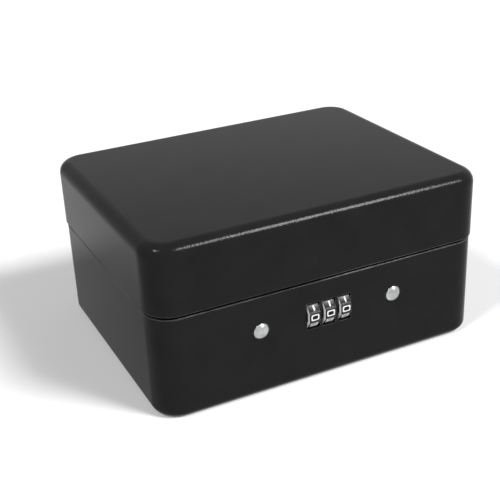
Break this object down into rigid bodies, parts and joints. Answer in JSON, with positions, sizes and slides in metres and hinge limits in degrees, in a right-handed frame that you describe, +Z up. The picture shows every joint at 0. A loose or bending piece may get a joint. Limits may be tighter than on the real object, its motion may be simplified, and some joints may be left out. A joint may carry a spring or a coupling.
{
  "type": "medication lock box",
  "caption": "Small black steel lock box with a deep hinged lid, number dials in windows, chrome push buttons that work the catches, and a foam mat on the floor.",
  "frame": {"origin": "centre of the base's flat underside", "axes": "+X to the right along the long side, -Y towards the front wall with the dials and buttons, +Z up"},
  "size_m": [0.16, 0.1332, 0.0794],
  "materials": {
    "black_powder_coat": "satin fine-textured black powder coat on sheet steel",
    "polished_chrome": "polished",
    "zinc_plated_steel": "bright zinc plate",
    "spring_steel": "plain spring steel",
    "black_dial_plastic": "black moulded plastic, white digits",
    "black_housing_plastic": "matt moulded plastic",
    "dark_foam": "matt closed-cell foam"
  },
  "bodies": {
    "case": {"base_shell": "black_powder_coat", "base_rim": "black_powder_coat", "left_hinge_base_leaf": "black_powder_coat", "right_hinge_base_leaf": "black_powder_coat", "left_hinge_pin": "zinc_plated_steel", "right_hinge_pin": "zinc_plated_steel", "left_base_rivet_inner": "zinc_plated_steel", "left_base_rivet_outer": "zinc_plated_steel", "right_base_rivet_inner": "zinc_plated_steel", "right_base_rivet_outer": "zinc_plated_steel", "dial_shaft": "zinc_plated_steel", "lock_cover": "zinc_plated_steel", "left_cover_screw": "zinc_plated_steel", "right_cover_screw": "zinc_plated_steel", "left_weld_stud": "zinc_plated_steel", "right_weld_stud": "zinc_plated_steel", "left_stud_nut": "zinc_plated_steel", "right_stud_nut": "zinc_plated_steel", "left_return_spring": "spring_steel", "right_return_spring": "spring_steel", "click_spring": "spring_steel", "bar_spring": "spring_steel", "lock_housing": "black_housing_plastic", "floor_mat": "dark_foam"},
    "lid": {"lid_shell": "black_powder_coat", "left_hinge_lid_leaf": "black_powder_coat", "right_hinge_lid_leaf": "black_powder_coat", "left_lid_rivet_inner": "zinc_plated_steel", "left_lid_rivet_outer": "zinc_plated_steel", "right_lid_rivet_inner": "zinc_plated_steel", "right_lid_rivet_outer": "zinc_plated_steel", "left_striker": "zinc_plated_steel", "right_striker": "zinc_plated_steel"},
    "left_dial_body": {"left_dial": "black_dial_plastic", "left_code_sleeve": "zinc_plated_steel"},
    "middle_dial_body": {"middle_dial": "black_dial_plastic", "middle_code_sleeve": "zinc_plated_steel"},
    "right_dial_body": {"right_dial": "black_dial_plastic", "right_code_sleeve": "zinc_plated_steel"},
    "left_button_body": {"left_button_cap": "polished_chrome", "left_catch": "zinc_plated_steel"},
    "right_button_body": {"right_button_cap": "polished_chrome", "right_catch": "zinc_plated_steel"},
    "lock_bar_body": {"lock_bar": "zinc_plated_steel"},
    "change_lever_body": {"change_lever": "black_dial_plastic"}
  },
  "joints": [
    {"name": "lid_hinge", "type": "hinge", "parent": "case", "child": "lid", "pos_m": [0, 0.0653, 0.04805], "axis": [-1, 0, 0], "range_deg": [0, 100]},
    {"name": "left_dial_turn", "type": "hinge", "parent": "case", "child": "left_dial_body", "pos_m": [-0.00775, -0.0573, 0.0315], "axis": [1, 0, 0], "continuous": true},
    {"name": "middle_dial_turn", "type": "hinge", "parent": "case", "child": "middle_dial_body", "pos_m": [0, -0.0573, 0.0315], "axis": [1, 0, 0], "continuous": true},
    {"name": "right_dial_turn", "type": "hinge", "parent": "case", "child": "right_dial_body", "pos_m": [0.00775, -0.0573, 0.0315], "axis": [1, 0, 0], "continuous": true},
    {"name": "left_button_press", "type": "slide", "parent": "case", "child": "left_button_body", "axis": [0, 1, 0], "range_m": [0, 0.0025], "stiffness_N_per_m": 600, "springref_m": -0.001, "deforming": ["left_return_spring"]},
    {"name": "right_button_press", "type": "slide", "parent": "case", "child": "right_button_body", "axis": [0, 1, 0], "range_m": [0, 0.0025], "stiffness_N_per_m": 600, "springref_m": -0.001, "deforming": ["right_return_spring"]},
    {"name": "lock_bar_lift", "type": "slide", "parent": "case", "child": "lock_bar_body", "axis": [0, 0, -1], "range_m": [-0.0014, 0], "stiffness_N_per_m": 100, "springref_m": 0.001, "deforming": ["bar_spring"]},
    {"name": "change_lever_slide", "type": "slide", "parent": "case", "child": "change_lever_body", "axis": [1, 0, 0], "range_m": [0, 0.003]}
  ]
}
